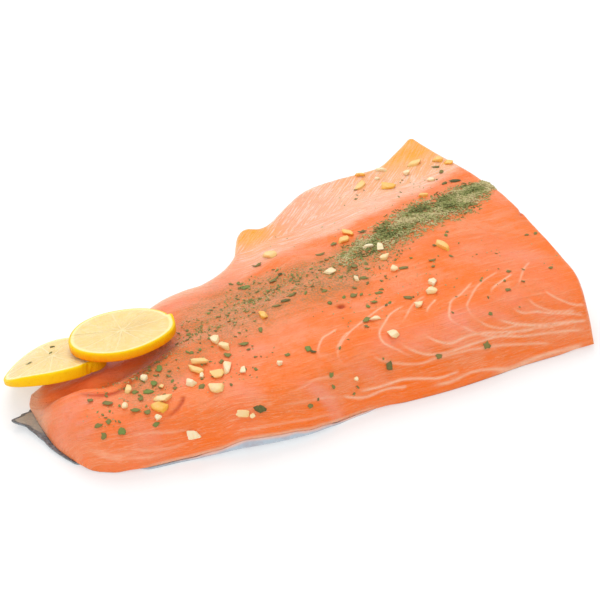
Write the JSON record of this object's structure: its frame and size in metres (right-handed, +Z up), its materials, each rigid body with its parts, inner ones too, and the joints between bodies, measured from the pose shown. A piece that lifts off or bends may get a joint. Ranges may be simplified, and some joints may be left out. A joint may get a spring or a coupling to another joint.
{
  "type": "salmon fillet",
  "caption": "Wedge-shaped piece of raw salmon fillet lying on its skin, seasoned with garlic chips and green herbs, with round lemon slices on its narrow end.",
  "frame": {"origin": "middle of the whole object's box, at the height of the surface it lies on", "axes": "+X along the fillet from the narrow tail end to the wide cut end, +Y from the thick loin edge to the thin belly edge, +Z up"},
  "size_m": [0.2866, 0.186, 0.0306],
  "materials": {
    "flesh": "moist raw fish with garlic and herbs on it",
    "skin": "wet silver-blue fish skin, dark grey at the tail",
    "lemon": "moist pulp with waxy yellow rind"
  },
  "bodies": {
    "root": {"flesh": "flesh", "skin": "skin", "lemon_slice_lower": "lemon", "lemon_slice_upper": "lemon"}
  },
  "joints": []
}
